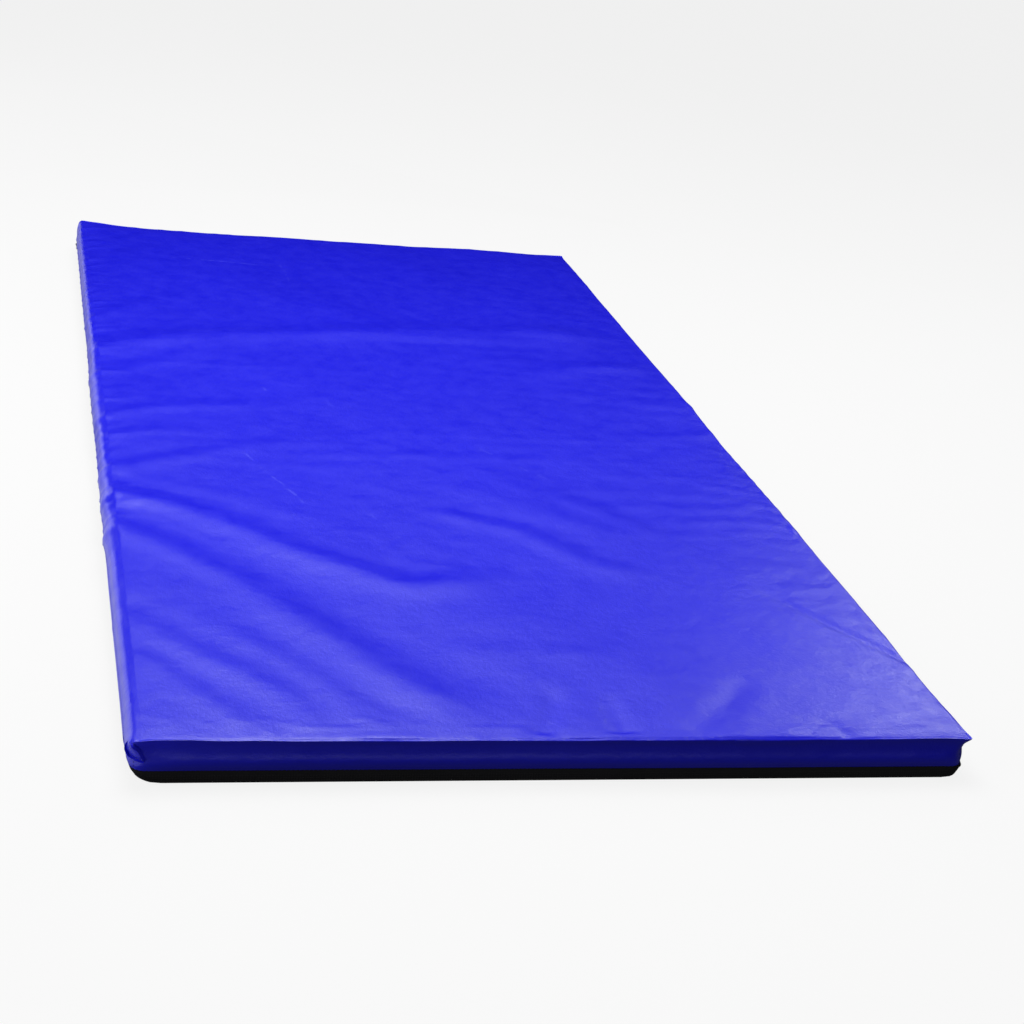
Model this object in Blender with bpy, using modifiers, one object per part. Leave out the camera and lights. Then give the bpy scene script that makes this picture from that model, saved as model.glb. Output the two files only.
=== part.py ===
"""Gym mat: one foam slab in a zipped PVC cover with a black non-slip base sheet.

Metres, +Z up. The origin is the centre of the underside. +X runs across the mat and +Y along it. The zip
is in the long wall at -X: it closes towards +Y, where the slider rests.
"""

import math

import bmesh
import bpy
from mathutils import Matrix, Vector

# Driving dimensions of the mat
MAT_WIDTH = 1.000
MAT_LENGTH = 2.000
MAT_THICKNESS = 0.060
COVER_SHEET = 0.0007
BASE_SHEET = 0.0009
BASE_TURN_UP = 0.018
CORNER_RADIUS = 0.015
TOP_EDGE_RADIUS = 0.012
BASE_EDGE_RADIUS = 0.010
CORE_INSET = 0.0032
CORE_CORNER_RADIUS = 0.012
CORE_TOP_RADIUS = 0.010
CORE_BASE_RADIUS = 0.008
GAP = 0.0003
ROUND_STEPS = 4

# Driving dimensions of the zip
ZIP_HEIGHT = 0.032
SLOT_HALF_LENGTH = 0.957
SLOT_HALF_HEIGHT = 0.0055
TAPE_HALF_LENGTH = 0.965
TAPE_THICKNESS = 0.0006
TAPE_WIDTH = 0.0112
COIL_HALF_LENGTH = 0.950
COIL_WIDTH = 0.0022
COIL_THICKNESS = 0.0024
CHAIN_HALF_GAP = 0.0008
STOP_LENGTH = 0.003

# Slider and pull
SLIDER_Y = 0.942
SLIDER_LENGTH = 0.012
SLIDER_NOSE_HALF_WIDTH = 0.0046
SLIDER_TAIL_HALF_WIDTH = 0.0041
SLIDER_BACK_PLATE = 0.0010
SLIDER_TOP_PLATE = 0.0012
SLIDER_CHANNEL_HALF_WIDTH = 0.0034
SLIDER_POST_HALF_WIDTH = 0.0005
SLIDER_POST_START = 0.0028
SLIDER_POST_END = 0.0054
BAIL_RADIUS = 0.0006
BAIL_HALF_SPAN = 0.0042
BAIL_RISE = 0.0031
BAIL_POINTS = 13
PULL_AXIS_RISE = 0.0012
PULL_THICKNESS = 0.0012
PULL_LENGTH = 0.0254
PULL_HALF_WIDTH = 0.0027
PULL_WINDOW_HALF_WIDTH = 0.0014
PULL_WINDOW_END = 0.0065

# Sewing thread
THREAD_RADIUS = 0.00035
STITCH_OFFSET = 0.002
CORNER_THREAD_LOW = 0.0195
CORNER_THREAD_HIGH = 0.045

# Heights and depths that follow from them
HALF_WIDTH = MAT_WIDTH / 2
HALF_LENGTH = MAT_LENGTH / 2
COVER_LOW = BASE_TURN_UP + GAP
WALL_X = -HALF_WIDTH
TAPE_OUTER_X = WALL_X + COVER_SHEET + GAP
TAPE_INNER_X = TAPE_OUTER_X + TAPE_THICKNESS
COIL_INNER_X = TAPE_OUTER_X - GAP
COIL_OUTER_X = COIL_INNER_X - COIL_THICKNESS
BACK_PLATE_OUTER_X = TAPE_INNER_X + GAP
BACK_PLATE_INNER_X = BACK_PLATE_OUTER_X + SLIDER_BACK_PLATE
TOP_PLATE_INNER_X = COIL_OUTER_X - GAP
TOP_PLATE_OUTER_X = TOP_PLATE_INNER_X - SLIDER_TOP_PLATE
PULL_AXIS_X = TOP_PLATE_OUTER_X - PULL_AXIS_RISE

# Colour (linear), roughness, metallic
FINISHES = {
    "blue_pvc": ((0.022, 0.026, 0.72), 0.42, 0.0),
    "black_non_slip": ((0.012, 0.012, 0.016), 0.75, 0.0),
    "grey_foam": ((0.55, 0.55, 0.56), 0.95, 0.0),
    "zip_tape_cloth": ((0.018, 0.020, 0.42), 0.85, 0.0),
    "zip_coil_nylon": ((0.016, 0.018, 0.36), 0.35, 0.0),
    "zip_metal": ((0.55, 0.55, 0.57), 0.28, 1.0),
    "blue_thread": ((0.02, 0.025, 0.45), 0.6, 0.0),
}


def clear_scene():
    for obj in list(bpy.data.objects):
        bpy.data.objects.remove(obj, do_unlink=True)


def new_collection(name):
    collection = bpy.data.collections.new(name)
    bpy.context.scene.collection.children.link(collection)
    return collection


def new_material(name):
    colour, roughness, metallic = FINISHES[name]
    material = bpy.data.materials.new(name)
    material.use_nodes = True
    shader = material.node_tree.nodes["Principled BSDF"]
    shader.inputs["Base Color"].default_value = (*colour, 1.0)
    shader.inputs["Roughness"].default_value = roughness
    shader.inputs["Metallic"].default_value = metallic
    return material


def add_part(name, mesh, finish, location=(0.0, 0.0, 0.0)):
    """Puts the mesh in the mat's collection as a named part with its own finish."""
    obj = bpy.data.objects.new(name, mesh)
    obj.location = location
    obj.data.materials.append(materials[finish])
    mat_parts.objects.link(obj)
    obj.data.shade_smooth()
    obj.data.set_sharp_from_angle(angle=math.radians(35))
    return obj


def add_cutter(name, low, high, location=(0.0, 0.0, 0.0)):
    obj = bpy.data.objects.new(name, mesh_from(name, box_bmesh(low, high)))
    obj.location = location
    obj.hide_render = True
    obj.display_type = "WIRE"
    cutters.objects.link(obj)
    return obj


def mesh_from(name, shape):
    mesh = bpy.data.meshes.new(name)
    shape.to_mesh(mesh)
    shape.free()
    return mesh


def box_bmesh(low, high):
    """A box between two corners."""
    low, high = Vector(low), Vector(high)
    shape = bmesh.new()
    size = Matrix.Diagonal((*(high - low), 1.0))
    bmesh.ops.create_cube(shape, size=1.0, matrix=Matrix.Translation((low + high) / 2) @ size)
    return shape


def bevel_edges(shape, radius, chosen, steps=ROUND_STEPS):
    """Rounds every edge whose two ends satisfy chosen."""
    edges = [edge for edge in shape.edges if chosen(*(vert.co for vert in edge.verts))]
    bmesh.ops.bevel(
        shape, geom=edges, offset=radius, offset_type="OFFSET", segments=steps, profile=0.5,
        affect="EDGES", clamp_overlap=True,
    )


def is_upright(first, second):
    return abs(first.z - second.z) > 1e-4 and (first - second).xy.length < 1e-6


def at_height(height):
    """A test for edges that lie at one height."""
    return lambda first, second: abs(first.z - height) < 1e-6 and abs(second.z - height) < 1e-6


def slab(half_width, half_length, low, high, corner_radius):
    """A flat slab about the mat's centre, with its four upright corners rounded."""
    shape = box_bmesh((-half_width, -half_length, low), (half_width, half_length, high))
    bevel_edges(shape, corner_radius, is_upright)
    return shape


def faces_at(shape, height):
    return [face for face in shape.faces if all(abs(vert.co.z - height) < 1e-6 for vert in face.verts)]


def add_modifier(obj, kind, name, **settings):
    modifier = obj.modifiers.new(name, kind)
    for key, value in settings.items():
        setattr(modifier, key, value)
    return modifier


def add_boolean(obj, other, operation):
    add_modifier(obj, "BOOLEAN", other.name, operation=operation, object=other, solver="EXACT")


def curve_part(name, points, radius, finish, cyclic=False):
    """A thin round thread or wire along straight runs between points."""
    curve = bpy.data.curves.new(name, "CURVE")
    curve.dimensions = "3D"
    curve.bevel_depth = radius
    curve.bevel_resolution = 1
    curve.use_fill_caps = not cyclic
    spline = curve.splines.new("POLY")
    spline.points.add(len(points) - 1)
    for spot, point in zip(spline.points, points):
        spot.co = (*point, 1.0)
    spline.use_cyclic_u = cyclic
    obj = bpy.data.objects.new(name, curve)
    curve.materials.append(materials[finish])
    mat_parts.objects.link(obj)
    return obj


def make_foam_core():
    low = BASE_SHEET + GAP
    high = MAT_THICKNESS - COVER_SHEET - GAP
    shape = slab(HALF_WIDTH - CORE_INSET, HALF_LENGTH - CORE_INSET, low, high, CORE_CORNER_RADIUS)
    bevel_edges(shape, CORE_TOP_RADIUS, at_height(high))
    bevel_edges(shape, CORE_BASE_RADIUS, at_height(low))
    add_part("foam_core", mesh_from("foam_core", shape), "grey_foam")


def make_cover_top_sheet():
    """The blue sheet is an open lid. Its wall at -X stops above the zip along the slot."""
    shape = slab(HALF_WIDTH, HALF_LENGTH, COVER_LOW, MAT_THICKNESS, CORNER_RADIUS)
    bevel_edges(shape, TOP_EDGE_RADIUS, at_height(MAT_THICKNESS))
    bmesh.ops.delete(shape, geom=faces_at(shape, COVER_LOW), context="FACES")
    cover = add_part("cover_top_sheet", mesh_from("cover_top_sheet", shape), "blue_pvc")
    add_modifier(cover, "SOLIDIFY", "sheet", thickness=COVER_SHEET, offset=-1.0, use_even_offset=True)
    slot = add_cutter(
        "zip_slot_cutter",
        (WALL_X - CORE_INSET, -SLOT_HALF_LENGTH, 0.0),
        (WALL_X + CORE_INSET, SLOT_HALF_LENGTH, ZIP_HEIGHT + SLOT_HALF_HEIGHT),
    )
    add_boolean(cover, slot, "DIFFERENCE")


def make_cover_base_sheet():
    """The black sheet is a shallow tray, open at the top."""
    shape = slab(HALF_WIDTH, HALF_LENGTH, 0.0, BASE_TURN_UP, CORNER_RADIUS)
    bevel_edges(shape, BASE_EDGE_RADIUS, at_height(0.0))
    bmesh.ops.delete(shape, geom=faces_at(shape, BASE_TURN_UP), context="FACES")
    base = add_part("cover_base_sheet", mesh_from("cover_base_sheet", shape), "black_non_slip")
    add_modifier(base, "SOLIDIFY", "sheet", thickness=BASE_SHEET, offset=-1.0, use_even_offset=True)


def make_zip_side_strip():
    shape = box_bmesh(
        (WALL_X, -SLOT_HALF_LENGTH + GAP, COVER_LOW),
        (WALL_X + COVER_SHEET, SLOT_HALF_LENGTH - GAP, ZIP_HEIGHT - SLOT_HALF_HEIGHT),
    )
    add_part("zip_side_strip", mesh_from("zip_side_strip", shape), "blue_pvc")


def make_zip_row(side, name):
    """One tape with its row of coil and its end stop. side is +1 above the zip's centre line and -1 below."""
    edge = ZIP_HEIGHT + side * CHAIN_HALF_GAP
    tape_far = edge + side * TAPE_WIDTH
    shape = box_bmesh(
        (TAPE_OUTER_X, -TAPE_HALF_LENGTH, min(edge, tape_far)),
        (TAPE_INNER_X, TAPE_HALF_LENGTH, max(edge, tape_far)),
    )
    add_part(f"zip_tape_{name}", mesh_from(f"zip_tape_{name}", shape), "zip_tape_cloth")

    coil_far = edge + side * COIL_WIDTH
    low, high = min(edge, coil_far), max(edge, coil_far)
    shape = box_bmesh((COIL_OUTER_X, -COIL_HALF_LENGTH, low), (COIL_INNER_X, COIL_HALF_LENGTH, high))
    bevel_edges(shape, COIL_WIDTH / 4, lambda first, second: abs(first.y - second.y) > COIL_HALF_LENGTH, 2)
    add_part(f"zip_coil_{name}", mesh_from(f"zip_coil_{name}", shape), "zip_coil_nylon")

    stop_start = COIL_HALF_LENGTH + GAP
    stop = box_bmesh((COIL_OUTER_X, stop_start, low), (COIL_INNER_X, stop_start + STOP_LENGTH, high))
    add_part(f"zip_top_stop_{name}", mesh_from(f"zip_top_stop_{name}", stop), "zip_metal")


def make_zip_bottom_stop():
    half_height = CHAIN_HALF_GAP + COIL_WIDTH
    stop_end = -COIL_HALF_LENGTH - GAP
    shape = box_bmesh(
        (COIL_OUTER_X, stop_end - STOP_LENGTH, ZIP_HEIGHT - half_height),
        (COIL_INNER_X, stop_end, ZIP_HEIGHT + half_height),
    )
    add_part("zip_bottom_stop", mesh_from("zip_bottom_stop", shape), "zip_metal")


def slider_plate(outer_x, inner_x):
    """A plate of the slider, wide at its nose (+Y) and narrower at its tail, about the slider's own centre."""
    half_length = SLIDER_LENGTH / 2
    nose = SLIDER_NOSE_HALF_WIDTH
    shape = box_bmesh((outer_x, -half_length, -nose), (inner_x, half_length, nose))
    for vert in shape.verts:
        if vert.co.y < 0:
            vert.co.z *= SLIDER_TAIL_HALF_WIDTH / nose
    bevel_edges(shape, 0.0015, lambda first, second: abs(first.x - second.x) > 1e-4, 3)
    return shape


def helper(name, mesh, location):
    """A hidden solid that a Boolean joins to a part."""
    obj = bpy.data.objects.new(name, mesh)
    obj.location = location
    obj.hide_render = True
    obj.display_type = "WIRE"
    cutters.objects.link(obj)
    return obj


def bail_mesh():
    """The slider's bail: half an ellipse of round wire standing on the top plate, its feet sunk in the plate."""
    points = [Vector((TOP_PLATE_OUTER_X + SLIDER_TOP_PLATE / 2, -BAIL_HALF_SPAN, 0.0))]
    for step in range(BAIL_POINTS):
        angle = math.pi * step / (BAIL_POINTS - 1)
        along = -BAIL_HALF_SPAN * math.cos(angle)
        points.append(Vector((TOP_PLATE_OUTER_X - BAIL_RISE * math.sin(angle), along, 0.0)))
    points.append(Vector((TOP_PLATE_OUTER_X + SLIDER_TOP_PLATE / 2, BAIL_HALF_SPAN, 0.0)))
    wire = curve_part("bail_wire", points, BAIL_RADIUS, "zip_metal")
    graph = bpy.context.evaluated_depsgraph_get()
    mesh = bpy.data.meshes.new_from_object(wire.evaluated_get(graph))
    bpy.data.objects.remove(wire)
    shape = bmesh.new()
    shape.from_mesh(mesh)
    bmesh.ops.remove_doubles(shape, verts=shape.verts, dist=1e-6)
    bmesh.ops.recalc_face_normals(shape, faces=shape.faces)
    shape.to_mesh(mesh)
    shape.free()
    return mesh


def make_zip_slider_body():
    """Top plate with two guide flanges, back plate, the post between them, and the bail, all in one casting."""
    place = (0.0, SLIDER_Y, ZIP_HEIGHT)
    flange_inner_x = TAPE_OUTER_X - GAP
    top = slider_plate(TOP_PLATE_OUTER_X, flange_inner_x)
    slider = add_part("zip_slider_body", mesh_from("zip_slider_body", top), "zip_metal", place)
    channel = add_cutter(
        "slider_channel_cutter",
        (TOP_PLATE_INNER_X, -SLIDER_LENGTH, -SLIDER_CHANNEL_HALF_WIDTH),
        (flange_inner_x + CORE_INSET, SLIDER_LENGTH, SLIDER_CHANNEL_HALF_WIDTH),
        place,
    )
    add_boolean(slider, channel, "DIFFERENCE")
    back = slider_plate(BACK_PLATE_OUTER_X, BACK_PLATE_INNER_X)
    add_boolean(slider, helper("slider_back_plate", mesh_from("slider_back_plate", back), place), "UNION")
    post = box_bmesh(
        (TOP_PLATE_INNER_X - GAP, SLIDER_POST_START, -SLIDER_POST_HALF_WIDTH),
        (BACK_PLATE_OUTER_X + GAP, SLIDER_POST_END, SLIDER_POST_HALF_WIDTH),
    )
    add_boolean(slider, helper("slider_post", mesh_from("slider_post", post), place), "UNION")
    add_boolean(slider, helper("slider_bail", bail_mesh(), place), "UNION")


def make_zip_pull_tab():
    """A flat tab with its origin on the hinge axis. The bail passes through its window; it points to -Y."""
    half_thick = PULL_THICKNESS / 2
    shape = box_bmesh((-half_thick, -PULL_LENGTH, -PULL_HALF_WIDTH), (half_thick, half_thick, PULL_HALF_WIDTH))
    bevel_edges(shape, 0.0014, lambda first, second: abs(first.x - second.x) > 1e-4, 3)
    place = (PULL_AXIS_X, SLIDER_Y, ZIP_HEIGHT)
    pull = add_part("zip_pull_tab", mesh_from("zip_pull_tab", shape), "zip_metal", place)
    window = add_cutter(
        "pull_window_cutter",
        (-PULL_THICKNESS, -PULL_WINDOW_END, -PULL_WINDOW_HALF_WIDTH),
        (PULL_THICKNESS, -half_thick, PULL_WINDOW_HALF_WIDTH),
        place,
    )
    add_boolean(pull, window, "DIFFERENCE")


def rounded_rectangle(half_width, half_length, radius, height, steps=6):
    points = []
    for quarter in range(4):
        across = 1 if quarter in (0, 3) else -1
        along = 1 if quarter in (0, 1) else -1
        centre = Vector((across * (half_width - radius), along * (half_length - radius), height))
        for step in range(steps + 1):
            angle = math.pi / 2 * (quarter + step / steps)
            points.append(centre + radius * Vector((math.cos(angle), math.sin(angle), 0.0)))
    return points


def make_threads():
    """Seam threads lie inside the walls, and the two stitch rows beside the zip lie on the outer face."""
    inset = BASE_SHEET + GAP + THREAD_RADIUS
    loop = rounded_rectangle(
        HALF_WIDTH - inset, HALF_LENGTH - inset, CORNER_RADIUS - inset, BASE_TURN_UP + GAP / 2
    )
    curve_part("base_seam_thread", loop, THREAD_RADIUS, "blue_thread", cyclic=True)

    for side, name in ((1, "upper"), (-1, "lower")):
        height = ZIP_HEIGHT + side * (SLOT_HALF_HEIGHT + STITCH_OFFSET)
        outside = WALL_X - GAP - THREAD_RADIUS
        ends = [Vector((outside, y, height)) for y in (-SLOT_HALF_LENGTH + GAP, SLOT_HALF_LENGTH - GAP)]
        curve_part(f"zip_{name}_thread", ends, THREAD_RADIUS, "blue_thread")

    reach = (CORNER_RADIUS - COVER_SHEET - GAP - THREAD_RADIUS) / math.sqrt(2)
    for across, across_name in ((-1, "left"), (1, "right")):
        for along, along_name in ((-1, "near"), (1, "far")):
            x = across * (HALF_WIDTH - CORNER_RADIUS + reach)
            y = along * (HALF_LENGTH - CORNER_RADIUS + reach)
            ends = [Vector((x, y, CORNER_THREAD_LOW)), Vector((x, y, CORNER_THREAD_HIGH))]
            curve_part(f"corner_thread_{along_name}_{across_name}", ends, THREAD_RADIUS, "blue_thread")


clear_scene()
mat_parts = new_collection("gym_mat")
cutters = new_collection("cutters")
materials = {name: new_material(name) for name in FINISHES}
make_foam_core()
make_cover_top_sheet()
make_cover_base_sheet()
make_zip_side_strip()
make_zip_row(1, "upper")
make_zip_row(-1, "lower")
make_zip_bottom_stop()
make_zip_slider_body()
make_zip_pull_tab()
make_threads()
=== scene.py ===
"""Looks of the gym mat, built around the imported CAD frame.

The blue cover is a dense sheet wrapped over the slab. Its long folds are drawn on the unrolled sheet, settled
by a cloth simulation, and finished with creases and the short gathers of the sewn edges. Metres, +Z up.
"""

import math

import bmesh
import bpy
import numpy as np
from mathutils import Matrix, Vector
from mathutils.bvhtree import BVHTree


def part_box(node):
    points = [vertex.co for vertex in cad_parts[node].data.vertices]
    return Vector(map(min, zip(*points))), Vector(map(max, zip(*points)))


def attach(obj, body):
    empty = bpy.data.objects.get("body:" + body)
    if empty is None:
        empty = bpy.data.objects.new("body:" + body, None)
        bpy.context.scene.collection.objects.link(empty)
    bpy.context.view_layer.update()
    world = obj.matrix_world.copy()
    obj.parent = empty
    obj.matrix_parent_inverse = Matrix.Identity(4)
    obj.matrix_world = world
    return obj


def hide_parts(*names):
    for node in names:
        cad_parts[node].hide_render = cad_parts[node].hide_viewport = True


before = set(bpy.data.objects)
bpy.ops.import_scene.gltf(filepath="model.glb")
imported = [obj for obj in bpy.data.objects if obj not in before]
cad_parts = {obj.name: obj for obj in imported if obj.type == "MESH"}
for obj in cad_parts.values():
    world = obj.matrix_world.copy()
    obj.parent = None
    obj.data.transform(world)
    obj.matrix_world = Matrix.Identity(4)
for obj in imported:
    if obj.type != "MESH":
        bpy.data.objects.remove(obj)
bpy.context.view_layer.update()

MM = 0.001
MAT_BODY = "mat"

# Places read from the frame
cover_low, cover_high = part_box("cover_top_sheet")
core_low, core_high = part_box("foam_core")
strip_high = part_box("zip_side_strip")[1]
coil_low, coil_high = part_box("zip_coil_lower")
HALF_WIDTH = cover_high.x
HALF_LENGTH = cover_high.y
TOP = cover_high.z
SEAM = cover_low.z
BASE_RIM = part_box("cover_base_sheet")[1].z
ZIP_X = (coil_low.x + coil_high.x) / 2
ZIP_Z = (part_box("zip_coil_upper")[1].z + coil_low.z) / 2
SLOT_LOW = strip_high.z
SLOT_HIGH = 2 * ZIP_Z - SLOT_LOW
SLOT_END = strip_high.y

# How the sheets are rounded, and how thick they are
TOP_CORNER_RADIUS = 5 * MM
CORNER_RADIUS = 18 * MM
EDGE_RADIUS = 5 * MM
BASE_EDGE_RADIUS = 4 * MM
BASE_CORNER_TUCK = 12 * MM
SHEET_THICKNESS = 0.7 * MM


# ------------ small helpers

def smoothstep(value):
    value = np.clip(value, 0.0, 1.0)
    return value * value * (3 - 2 * value)


def bump(distance, width):
    """1 on a line, falling smoothly to 0 a few widths away."""
    return np.exp(-((distance / width) ** 2))


def add_object(name, data):
    obj = bpy.data.objects.new(name, data)
    bpy.context.scene.collection.objects.link(obj)
    return obj


def mesh_object(name, points, faces):
    mesh = bpy.data.meshes.new(name)
    mesh.from_pydata(np.asarray(points, float).tolist(), [], [list(map(int, face)) for face in faces])
    mesh.update()
    mesh.shade_smooth()
    return add_object(name, mesh)


def read_vertices(mesh, key):
    """The places ("co") or the normals ("normal") of a mesh's vertices."""
    values = np.zeros(len(mesh.vertices) * 3, np.float32)
    mesh.vertices.foreach_get(key, values)
    return values.reshape(-1, 3).astype(float)


def smooth_line(points, steps=10):
    """A smooth curve through a few chosen points (Catmull-Rom)."""
    points = np.array(points, float)
    ends = np.vstack([2 * points[0] - points[1], points, 2 * points[-1] - points[-2]])
    line = []
    for a, b, c, d in zip(ends[:-3], ends[1:-2], ends[2:-1], ends[3:]):
        for t in np.arange(steps) / steps:
            square = (2 * a - 5 * b + 4 * c - d) * t**2
            cube = (3 * b - a - 3 * c + d) * t**3
            line.append(0.5 * (2 * b + (c - a) * t + square + cube))
    line.append(points[-1])
    return np.array(line)


# ------------ the wrapped sheet

def graded_lines(half, fine_band, fine_step, coarse_step):
    """Grid lines from -half to half, close together near both ends."""
    fine = np.linspace(0, fine_band, round(fine_band / fine_step) + 1)
    middle_count = max(2, round(2 * (half - fine_band) / coarse_step))
    middle = np.linspace(-half + fine_band, half - fine_band, middle_count + 1)[1:-1]
    return np.concatenate([-half + fine, middle, half - fine[::-1]])


def wrapped_grid(x_lines, y_lines, top, rows):
    """An open box of quads: a top grid, and one ring of points for each height in rows."""
    nx, ny = len(x_lines), len(y_lines)
    grid_x, grid_y = np.meshgrid(x_lines, y_lines, indexing="ij")
    points = [np.column_stack([grid_x.ravel(), grid_y.ravel(), np.full(nx * ny, top)])]
    i, j = np.meshgrid(np.arange(nx - 1), np.arange(ny - 1), indexing="ij")
    first = (i * ny + j).ravel()
    faces = [np.column_stack([first, first + ny, first + ny + 1, first + 1])]

    ring = [index * ny for index in range(nx)]
    ring += [(nx - 1) * ny + index for index in range(1, ny)]
    ring += [index * ny + ny - 1 for index in range(nx - 2, -1, -1)]
    ring += list(range(ny - 2, 0, -1))
    above = np.array(ring)
    outline = points[0][above]
    count = nx * ny
    for height in rows:
        below = count + np.arange(len(ring))
        points.append(np.column_stack([outline[:, :2], np.full(len(ring), height)]))
        faces.append(np.column_stack([below, np.roll(below, -1), np.roll(above, -1), above]))
        above = below
        count += len(ring)
    return np.vstack(points), np.vstack(faces)


def round_box(points, half, corner_radius, edge_radius, side):
    """Points of a sharp box moved onto one with rounded edges, and their outward normals. corner_radius is
    one number or one for each point. side is +1 to round the top edges and -1 the bottom ones, at half[2]."""
    corner_radius = np.broadcast_to(corner_radius, len(points))
    radii = np.column_stack([corner_radius, corner_radius, np.full(len(points), edge_radius)])
    inner = points.copy()
    for axis in (0, 1):
        reach = half[axis] - corner_radius
        inner[:, axis] = np.clip(points[:, axis], -reach, reach)
    limit = half[2] - side * edge_radius
    inner[:, 2] = np.minimum(points[:, 2], limit) if side > 0 else np.maximum(points[:, 2], limit)
    offset = (points - inner) / radii
    offset /= np.maximum(np.linalg.norm(offset, axis=1, keepdims=True), 1e-9)
    normals = offset / radii
    normals /= np.maximum(np.linalg.norm(normals, axis=1, keepdims=True), 1e-9)
    return inner + offset * radii, normals


def corner_radius(depth):
    """The radius of the upright corners at a depth below the top."""
    return TOP_CORNER_RADIUS + (CORNER_RADIUS - TOP_CORNER_RADIUS) * smoothstep(depth / (16 * MM))


class Sheet:
    """The cover's grid: box points, their rounded places and normals, and their places u, v when unrolled."""

    def __init__(self, fine_step, coarse_step):
        x_lines = graded_lines(HALF_WIDTH, 5 * fine_step, fine_step, coarse_step)
        y_lines = graded_lines(HALF_LENGTH, HALF_LENGTH - SLOT_END, fine_step, coarse_step)
        levels = (TOP, SLOT_HIGH, SLOT_LOW, SEAM)
        steps = [round((high - low) / fine_step) for high, low in zip(levels, levels[1:])]
        rows = [np.linspace(levels[k], levels[k + 1], steps[k] + 1)[1:] for k in range(3)]
        self.box, self.faces = wrapped_grid(x_lines, y_lines, TOP, np.concatenate(rows))
        self.depth = TOP - self.box[:, 2]
        corner = corner_radius(self.depth)
        half = (HALF_WIDTH, HALF_LENGTH, TOP)
        self.points, self.normals = round_box(self.box, half, corner, EDGE_RADIUS, 1)
        on_side = np.abs(np.abs(self.box[:, 0]) - HALF_WIDTH) < 1e-6
        on_end = np.abs(np.abs(self.box[:, 1]) - HALF_LENGTH) < 1e-6
        self.u = self.box[:, 0] + np.sign(self.box[:, 0]) * self.depth * on_side
        self.v = self.box[:, 1] + np.sign(self.box[:, 1]) * self.depth * on_end
        middle = self.box[self.faces].mean(axis=1)
        beside_zip = (middle[:, 0] < -HALF_WIDTH + 1e-6) & (np.abs(middle[:, 1]) < SLOT_END)
        beside_zip &= middle[:, 2] < SLOT_HIGH
        self.cover_faces = self.faces[~beside_zip]
        self.strip_faces = self.faces[beside_zip & (middle[:, 2] < SLOT_LOW)]


def line_distance(u, v, line):
    """Each point's signed distance to a line (positive on its left) and how far along it lies, 0 to 1."""
    start, step = line[:-1], line[1:] - line[:-1]
    length = np.linalg.norm(step, axis=1)
    before = np.concatenate([[0.0], np.cumsum(length)])
    best = np.full(len(u), np.inf)
    signed = np.zeros(len(u))
    along = np.zeros(len(u))
    for k in range(len(step)):
        du, dv = u - start[k, 0], v - start[k, 1]
        t = np.clip((du * step[k, 0] + dv * step[k, 1]) / length[k] ** 2, 0, 1)
        gap_u, gap_v = du - t * step[k, 0], dv - t * step[k, 1]
        gap = np.hypot(gap_u, gap_v)
        nearer = gap < best
        best = np.where(nearer, gap, best)
        side = np.sign(step[k, 0] * dv - step[k, 1] * du)
        signed = np.where(nearer, side * gap, signed)
        along = np.where(nearer, (before[k] + t * length[k]) / before[-1], along)
    return signed, along


def add_fold(height, u, v, points, rise, width, valley=0.0, valley_side=1, ends=(0.25, 0.35), spread=0.0):
    """Adds a ridge (rise > 0) or a crease (rise < 0) along a line on the unrolled sheet, with a valley on its
    left (+1) or right (-1). ends are the shares of its length where it fades; spread is how far it widens."""
    line = smooth_line(points)
    reach = 5 * width * (1 + spread)
    near = (u > line[:, 0].min() - reach) & (u < line[:, 0].max() + reach)
    near &= (v > line[:, 1].min() - reach) & (v < line[:, 1].max() + reach)
    distance, along = line_distance(u[near], v[near], line)
    fade = smoothstep(along / max(ends[0], 1e-3)) * smoothstep((1 - along) / max(ends[1], 1e-3))
    wide = width * (1 + spread * along)
    shape = rise * bump(distance, wide)
    if valley:
        shape -= valley * bump(distance - valley_side * 1.7 * wide, 1.15 * wide)
    height[near] += shape * fade


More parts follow.
